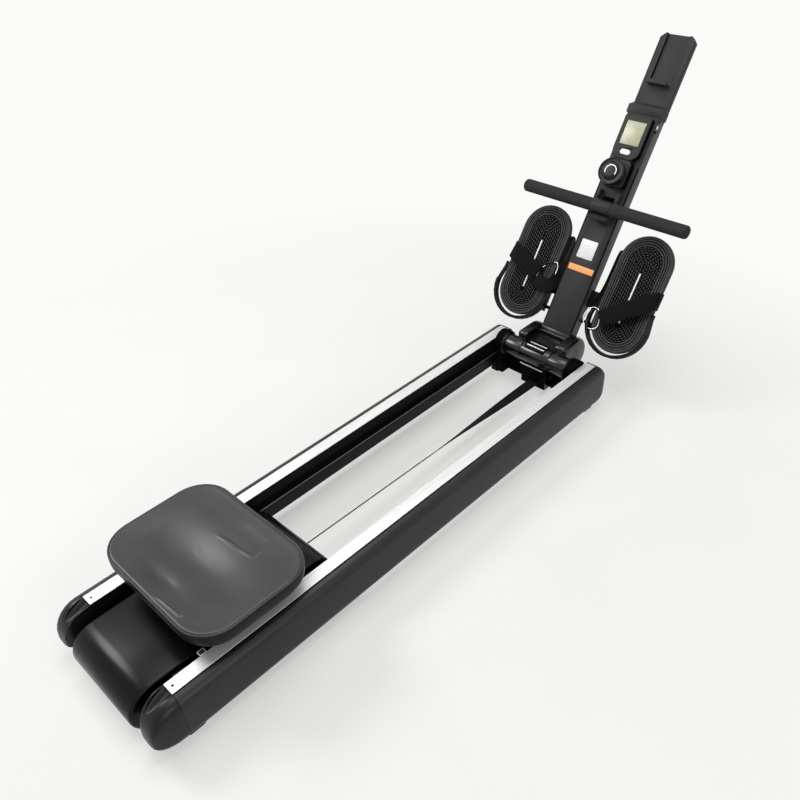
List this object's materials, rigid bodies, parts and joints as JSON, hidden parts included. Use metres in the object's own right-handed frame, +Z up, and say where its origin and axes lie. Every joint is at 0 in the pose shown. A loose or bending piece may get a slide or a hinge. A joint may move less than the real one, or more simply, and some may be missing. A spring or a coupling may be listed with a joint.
{
  "type": "magnetic rowing machine",
  "caption": "Low rowing machine: seat on two long rails, rear magnetic drive housing, and a folding front column with footrests, pull handle, tension knob, console and phone rest",
  "frame": {"origin": "centre of the bounding box in plan, on the floor under the rubber feet", "axes": "+X along the rails towards the folding column, +Y to the left of a rower who faces the column, +Z up"},
  "size_m": [1.8602, 0.488, 0.8234],
  "materials": {
    "column_metal": "charcoal powder coat",
    "black_metal": "black powder coat",
    "rail_strip": "brushed along its length",
    "rubber": "matte black rubber",
    "shell": "satin black moulded plastic",
    "seat_skin": "soft grained seat foam skin",
    "foam": "dark grey closed cell foam",
    "flywheel_iron": "turned faces",
    "steel": "bright steel",
    "chromed_wire": "polished wire",
    "webbing": "woven black webbing",
    "display": "pale grey-green display window",
    "button_white": "white moulded button",
    "nylon": "grey moulded nylon"
  },
  "bodies": {
    "root": {"left_rail_shell": "shell", "right_rail_shell": "shell", "left_rail_beam": "black_metal", "right_rail_beam": "black_metal", "left_rail_strip": "rail_strip", "right_rail_strip": "rail_strip", "left_rear_cap": "shell", "right_rear_cap": "shell", "left_rear_foot": "rubber", "right_rear_foot": "rubber", "left_front_foot": "rubber", "right_front_foot": "rubber", "rear_housing_cover": "shell", "rear_housing_tray": "black_metal", "rear_cross_tube": "black_metal", "drive_cross_tube": "black_metal", "front_bridge": "black_metal", "flywheel_axle": "steel", "drum_axle": "steel", "recoil_spring": "steel", "drive_belt": "rubber", "hinge_pin": "steel", "strap_pulley_cover": "shell", "lower_pull_strap": "webbing"},
    "flywheel": {"flywheel": "flywheel_iron"},
    "strap_drum": {"strap_drum": "nylon"},
    "front_pulley": {"front_pulley": "nylon"},
    "magnet_bracket": {"magnet_bracket": "steel"},
    "column": {"column_foot": "shell", "column_channel": "column_metal", "column_cover": "column_metal", "phone_rest": "shell", "console_housing": "shell", "display_screen": "display", "knob_base": "shell", "handle_cradle": "shell", "upper_pull_strap": "webbing", "footrest_frame": "black_metal", "left_foot_pad": "rubber", "right_foot_pad": "rubber", "left_heel_rim": "shell", "right_heel_rim": "shell", "left_foot_strap": "webbing", "right_foot_strap": "webbing", "left_strap_ring": "chromed_wire", "right_strap_ring": "chromed_wire"},
    "strap_roller": {"strap_roller": "nylon"},
    "console_button": {"console_button": "button_white"},
    "tension_knob": {"tension_knob": "shell"},
    "handle": {"handlebar_tube": "black_metal", "left_grip": "foam", "right_grip": "foam", "handle_collar": "shell"},
    "seat": {"seat_pad": "seat_skin", "seat_base": "shell", "seat_carriage": "black_metal"},
    "left_rear_seat_wheel": {"left_rear_seat_wheel": "nylon"},
    "right_rear_seat_wheel": {"right_rear_seat_wheel": "nylon"},
    "left_front_seat_wheel": {"left_front_seat_wheel": "nylon"},
    "right_front_seat_wheel": {"right_front_seat_wheel": "nylon"}
  },
  "joints": [
    {"name": "column_fold", "type": "hinge", "parent": "root", "child": "column", "pos_m": [0.39243, 0, 0.113], "axis": [0, 1, 0], "range_deg": [-120, 0]},
    {"name": "seat_slide", "type": "slide", "parent": "root", "child": "seat", "axis": [1, 0, 0], "range_m": [0, 0.86]},
    {"name": "handle_pull", "type": "slide", "parent": "column", "child": "handle", "axis": [-0.9848, 0, 0.1736], "range_m": [0, 1.05], "stiffness_N_per_m": 8, "springref_m": -1.4},
    {"name": "tension_turn", "type": "hinge", "parent": "column", "child": "tension_knob", "pos_m": [0.68029, 0, 0.53135], "axis": [-0.8434, 0, 0.5373], "range_deg": [0, 300]},
    {"name": "console_press", "type": "slide", "parent": "column", "child": "console_button", "axis": [0.8434, 0, -0.5373], "range_m": [0, 0.0015], "stiffness_N_per_m": 400, "springref_m": -0.003},
    {"name": "flywheel_spin", "type": "hinge", "parent": "root", "child": "flywheel", "pos_m": [-0.78557, 0, 0.03], "axis": [0, 0, 1], "continuous": true},
    {"name": "drum_spin", "type": "hinge", "parent": "root", "child": "strap_drum", "pos_m": [-0.57157, 0.0055, 0.06], "axis": [0, 0, 1], "continuous": true},
    {"name": "front_pulley_spin", "type": "hinge", "parent": "root", "child": "front_pulley", "pos_m": [0.40241, 0, 0.05245], "axis": [0, 1, 0], "continuous": true},
    {"name": "roller_spin", "type": "hinge", "parent": "column", "child": "strap_roller", "pos_m": [0.66192, 0, 0.4412], "axis": [0, 1, 0], "continuous": true},
    {"name": "magnet_swing", "type": "hinge", "parent": "root", "child": "magnet_bracket", "pos_m": [-0.87045, 0.049, 0.03], "axis": [0, 0, 1], "range_deg": [0, 2.6]},
    {"name": "left_rear_wheel_spin", "type": "hinge", "parent": "seat", "child": "left_rear_seat_wheel", "pos_m": [-0.73957, 0.12, 0.1063], "axis": [0, 1, 0], "continuous": true},
    {"name": "left_front_wheel_spin", "type": "hinge", "parent": "seat", "child": "left_front_seat_wheel", "pos_m": [-0.59957, 0.12, 0.1063], "axis": [0, 1, 0], "continuous": true},
    {"name": "right_rear_wheel_spin", "type": "hinge", "parent": "seat", "child": "right_rear_seat_wheel", "pos_m": [-0.73957, -0.12, 0.1063], "axis": [0, 1, 0], "continuous": true},
    {"name": "right_front_wheel_spin", "type": "hinge", "parent": "seat", "child": "right_front_seat_wheel", "pos_m": [-0.59957, -0.12, 0.1063], "axis": [0, 1, 0], "continuous": true}
  ],
  "couplings": [
    {"joint": "drum_spin", "follows": "handle_pull", "rad_per_m": 47.506},
    {"joint": "flywheel_spin", "follows": "handle_pull", "rad_per_m": 190.02},
    {"joint": "front_pulley_spin", "follows": "handle_pull", "rad_per_m": -52.493},
    {"joint": "roller_spin", "follows": "handle_pull", "rad_per_m": -110.5},
    {"joint": "magnet_swing", "follows": "tension_turn", "ratio": 0.0086},
    {"joint": "left_rear_wheel_spin", "follows": "seat_slide", "rad_per_m": 81.301},
    {"joint": "left_front_wheel_spin", "follows": "seat_slide", "rad_per_m": 81.301},
    {"joint": "right_rear_wheel_spin", "follows": "seat_slide", "rad_per_m": 81.301},
    {"joint": "right_front_wheel_spin", "follows": "seat_slide", "rad_per_m": 81.301}
  ]
}
